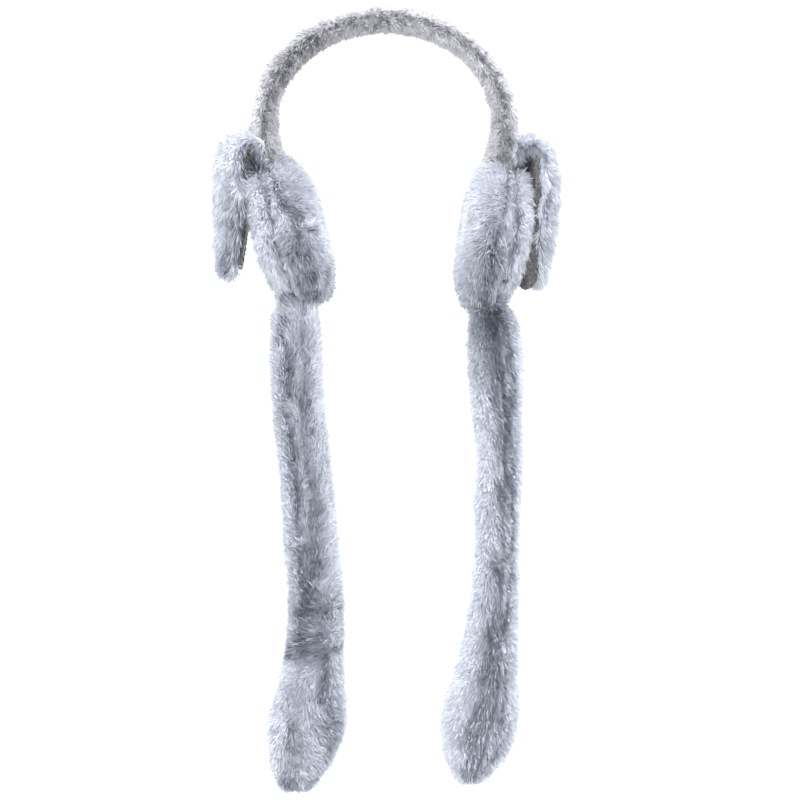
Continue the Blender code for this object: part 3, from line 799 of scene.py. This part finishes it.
def bandPaintedShading(points, normals):
    # painted light and shade: paler along the outside of the arch where the light falls, darker along the
    # inside and on the left shoulder where shade falls
    way = points * [1.0, 0.0, 1.0] + [0.0, 0.0, bandCentre]
    legs = np.clip((-0.030 - points[:, 2]) / 0.020, 0, 1)
    shoulder = -0.45 * np.clip((-points[:, 0] - 0.030) / 0.020, 0, 1) * (1 - legs)
    return 0.20 + 0.28 * (unit(way) * normals).sum(axis=1) + shoulder


furred("headband", {**bandSpec, "tint": bandPaintedShading}, bandComb)


earSpec = {
    **plushSpec, "strands": 50000, "length": 0.0070, "stray": 0.15, "pull": 0.32,
    "voxel": 0.0035, "inset": 0.0026, "swell": 0.0008, "close": 0.005, "least": 0.0016, "fill": 0.35,
    "ruffle": 0.25, "ruffle size": 0.008, "swirl": 0.6, "swirl size": 0.012, "patches": 0.14,
}
liningSpec = {
    # rise is how far the short pile stands off the knit
    "strands": 18000, "length": 0.0022, "rise": 0.0011, "width": 0.00030, "stray": 0.20, "tuft": 8,
    "pull": 0.4, "twist": 1.2, "wild": 0.0, "material": ribPile, "slot": "knit_lining",
    "voxel": 0.0011, "rib": liningLook["rib"], "seed": 71,
}


def earComb(side):
    outward = -1.0 if side == "left" else 1.0

    def comb(points, normals):
        # over the fold from the root, then down and a little outwards
        high = np.clip((points[:, 2] + 0.085) / 0.012, 0, 1)[:, None]
        return np.array([outward * 0.35, 0.0, -1.0]) * (1 - high) + np.array([outward, 0.0, -0.3]) * high

    return comb


earWays = {
    # in metres: puff is how far the lining bulges, reach how far it comes down round the tip and drop how
    # much its top is lowered, narrow how far the flap's outer side is drawn in, hollow how much room it
    # leaves for the lining and lower how much its fold is lowered. lip is how much longer the pile is
    # beside the lining's front edge
    "left": {
        "puff": 0.0, "reach": 0.0, "drop": 0.004, "narrow": 0.0, "hollow": 0.0, "lower": 0.0040, "lip": 0.5,
        # the corner fill is painted dark as painted shade
        "corner": [(-0.1000, -0.0960, 0.013, 0.012, 1.6)],
        # spots of painted shade on the ear
        "shades": [(-0.1060, -0.1500, 0.010, 0.040, -0.6), (-0.1150, -0.1740, 0.011, 0.014, -0.6)],
    },
    "right": {
        "puff": 0.0065, "reach": 0.008, "drop": 0.0, "narrow": 0.0030, "hollow": 0.0035, "lower": 0.0020,
        "lip": 0.08,
        # the corner fill is painted dark as painted shade
        "corner": [(0.1010, -0.0900, 0.008, 0.010, 0.1)],
        # spots of painted shade on the ear
        "shades": [(0.1120, -0.1500, 0.004, 0.050, -0.4)],
    },
}


earForm = {
    # all in metres: the height over which the flap's tip is rounded off, how far the tip is drawn in, and
    # how far its corners are raised
    "tip": 0.018, "tip in": 0.0035, "corners up": 0.005,
    # the same height and raising for the lining's lower end
    "lining tip": 0.016, "lining corners up": 0.010,
    # over the first height the lining reaches down and bulges, most at the second height
    "lining low": 0.030, "bulge": 0.020,
    # up to these heights the outer side is drawn in and the inner side hollowed, fading over the last
    "narrow to": 0.048, "hollow to": 0.075, "lining hollow to": 0.070, "fade": 0.030,
    # the breadth of the end is measured below this height
    "end": 0.020,
}


def earStanding(side):
    # along the lining's front edge the flap's pile stands up as a lip, and it fills the corner at the root
    rows = pointsOf(outlines["ear_lining_" + side])
    heights = np.linspace(rows[:, 2].min() + 0.004, rows[:, 2].max() - 0.004, 9)
    fronts = [rows[np.abs(rows[:, 2] - height) < 0.012, 1].min() for height in heights]
    inward = 1.0 if side == "left" else -1.0
    ways = earWays[side]
    corner = fillAt(ways["corner"])

    def standing(points, normals):
        edge = np.clip((np.interp(points[:, 2], heights, fronts) + 0.004 - points[:, 1]) / 0.004, 0, 1)
        return ways["lip"] * edge * np.clip(normals[:, 0] * inward * 2, 0, 1) + corner(points, normals)

    return standing


def earTaper(side):
    # the tip is rounded off and the outer side drawn in towards it, the lining gets room on the inner side,
    # and the fold's top lies lower
    low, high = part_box("ear_flap_" + side)
    ways = earWays[side]
    form = earForm
    outward = -1.0 if side == "left" else 1.0

    def presses(points, normals):
        level = points[:, 2] - low.z
        tip = form["tip in"] * np.clip(1 - level / form["tip"], 0, 1) ** 2
        outer = np.clip(normals[:, 0] * outward * 1.5, 0, 1)
        drawn = ways["narrow"] * outer * np.clip((form["narrow to"] - level) / form["fade"], 0, 1)
        inner = np.clip(-normals[:, 0] * outward * 1.5, 0, 1)
        room = ways["hollow"] * inner * np.clip((form["hollow to"] - level) / form["fade"], 0, 1)
        top = ways["lower"] * np.clip((points[:, 2] - high.z + 0.012) / 0.010, 0, 1)
        moved = -normals * (tip + drawn + room + top)[:, None]
        near = points[level < form["end"], 0]
        aside = (points[:, 0] - near.mean()) / (near.max() - near.min()) * 2
        moved[:, 2] += form["corners up"] * aside ** 2 * np.clip(1 - level / form["tip"], 0, 1)
        return moved

    return presses


def makeLining(side):
    node = "ear_lining_" + side
    print("making", node)
    ways = earWays[side]
    form = earForm
    cloth = cleanCopy(node, node + ".knit")
    remeshed(cloth, liningSpec["voxel"])
    # it bulges a little low down, leans on the flap's hollow side and reaches round the tip
    points = pointsOf(cloth)
    low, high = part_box(node)
    inward = np.array([1.0 if side == "left" else -1.0, 0.0, 0.0])
    level = points[:, 2:3] - low.z
    facing = np.clip(normalsOf(cloth) @ inward, 0, 1)[:, None]
    middle = np.clip(1 - (np.abs(points[:, 1:2] - (low.y + high.y) / 2) / ((high.y - low.y) / 2)) ** 3, 0, 1)
    bulge = np.exp(-((level - form["bulge"]) / form["lining low"]) ** 2)
    bulge *= np.sqrt(np.clip(level / form["bulge"], 0, 1))
    points += inward * facing * middle * bulge * ways["puff"]
    outer = np.clip(-(normalsOf(cloth) @ inward), 0, 1)[:, None]
    fading = np.clip((form["lining hollow to"] - level) / form["fade"], 0, 1)
    points -= inward * outer * ways["hollow"] * fading
    points[:, 2:3] -= ways["reach"] * np.clip(1 - level / form["lining low"], 0, 1) ** 2
    # its lower end is round
    near = points[level[:, 0] < form["end"], 0]
    aside = (points[:, 0:1] - near.mean()) / (near.max() - near.min()) * 2
    points[:, 2:3] += form["lining corners up"] * aside ** 2 * np.clip(1 - level / form["lining tip"], 0, 1)
    points[:, 2:3] -= ways["drop"] * np.clip((points[:, 2:3] - high.z + 0.014) / 0.008, 0, 1)
    movePoints(cloth, points)
    cloth.data.shade_smooth()
    cloth.data.materials.append(ribKnit)
    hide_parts(node)
    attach(cloth, "root")
    points = pointsOf(cloth)
    normals = normalsOf(cloth)
    down = np.tile([0.0, 0.0, -1.0], (len(points), 1))
    rise = np.full(len(points), liningSpec["rise"])
    ones = np.ones(len(points))
    density = openTo(node, points, normals, coverReach)
    growPile(node + ".pile", cloth, liningSpec, down, rise, ones, density, 0 * ones)


for side, seed in (("left", 61), ("right", 62)):
    ways = earWays[side]
    spec = {**earSpec, "seed": seed, "standing": earStanding(side), "shades": ways["shades"]}
    spec.update({"corner": ways["corner"], "clear": coverReach + ways["hollow"]})
    furred("ear_flap_" + side, spec, earComb(side), earTaper(side))
    makeLining(side)

for piece in outlines.values():
    bpy.data.objects.remove(piece, do_unlink=True)


floorSet = {"level": -0.68, "radius": 4.0, "colour": "CFCFCF"}
floorMesh = bpy.data.meshes.new("floor")
shape = bmesh.new()
bmesh.ops.create_circle(shape, cap_ends=True, segments=96, radius=floorSet["radius"])
bmesh.ops.translate(shape, verts=shape.verts[:], vec=(0, 0, floorSet["level"]))
shape.to_mesh(floorMesh)
shape.free()
floor = bpy.data.objects.new("floor", floorMesh)
scene.collection.objects.link(floor)
paleFloor = bpy.data.materials.new("matt white studio floor")
paleFloor.use_nodes = True
paleShader = paleFloor.node_tree.nodes["Principled BSDF"]
paleShader.inputs["Base Color"].default_value = linear(floorSet["colour"])
paleShader.inputs["Roughness"].default_value = 1.0
floorMesh.materials.append(paleFloor)

roomLight = {"level": 1.5, "overhead": 2.2, "from": 0.2}
world = bpy.data.worlds.new("white room")
world.use_nodes = True
sky = world.node_tree
sky.nodes["Background"].inputs["Color"].default_value = (1.0, 1.0, 1.0, 1.0)
# brighter overhead than at the level of the eye
way = addNode(sky, "ShaderNodeTexCoord")
upward = addNode(sky, "ShaderNodeSeparateXYZ", {"Vector": way.outputs["Generated"]})
bright = addNode(sky, "ShaderNodeMapRange", {
    "Value": upward.outputs["Z"], "From Min": roomLight["from"], "From Max": 1.0,
    "To Min": roomLight["level"], "To Max": roomLight["overhead"]})
sky.links.new(bright.outputs[0], sky.nodes["Background"].inputs["Strength"])
scene.world = world

lampAim = (0, 0, -0.25)
lamps = {
    # name: place, size, watts
    "key": ((0.8, -1.5, 1.2), 1.2, 30.0),
    "fill": ((-1.3, -1.3, 0.6), 1.4, 12.0),
    "top": ((0.0, -0.1, 1.5), 1.8, 16.0),
}
for name, (place, size, watts) in lamps.items():
    light = bpy.data.lights.new(name, "AREA")
    light.shape = "DISK"
    light.size = size
    light.energy = watts
    lamp = bpy.data.objects.new(name, light)
    lamp.location = place
    lamp.rotation_euler = (Vector(lampAim) - Vector(place)).to_track_quat("-Z", "Y").to_euler()
    scene.collection.objects.link(lamp)

cameraSet = {"place": (0.0115, -1.5, -0.2734), "sensor": 36, "lens": 90.85}
camera = bpy.data.objects.new("camera", bpy.data.cameras.new("camera"))
camera.location = cameraSet["place"]
camera.rotation_euler = (math.pi / 2, 0, 0)
camera.data.sensor_width = cameraSet["sensor"]
camera.data.lens = cameraSet["lens"]
scene.collection.objects.link(camera)
scene.camera = camera
scene.view_settings.view_transform = "Standard"
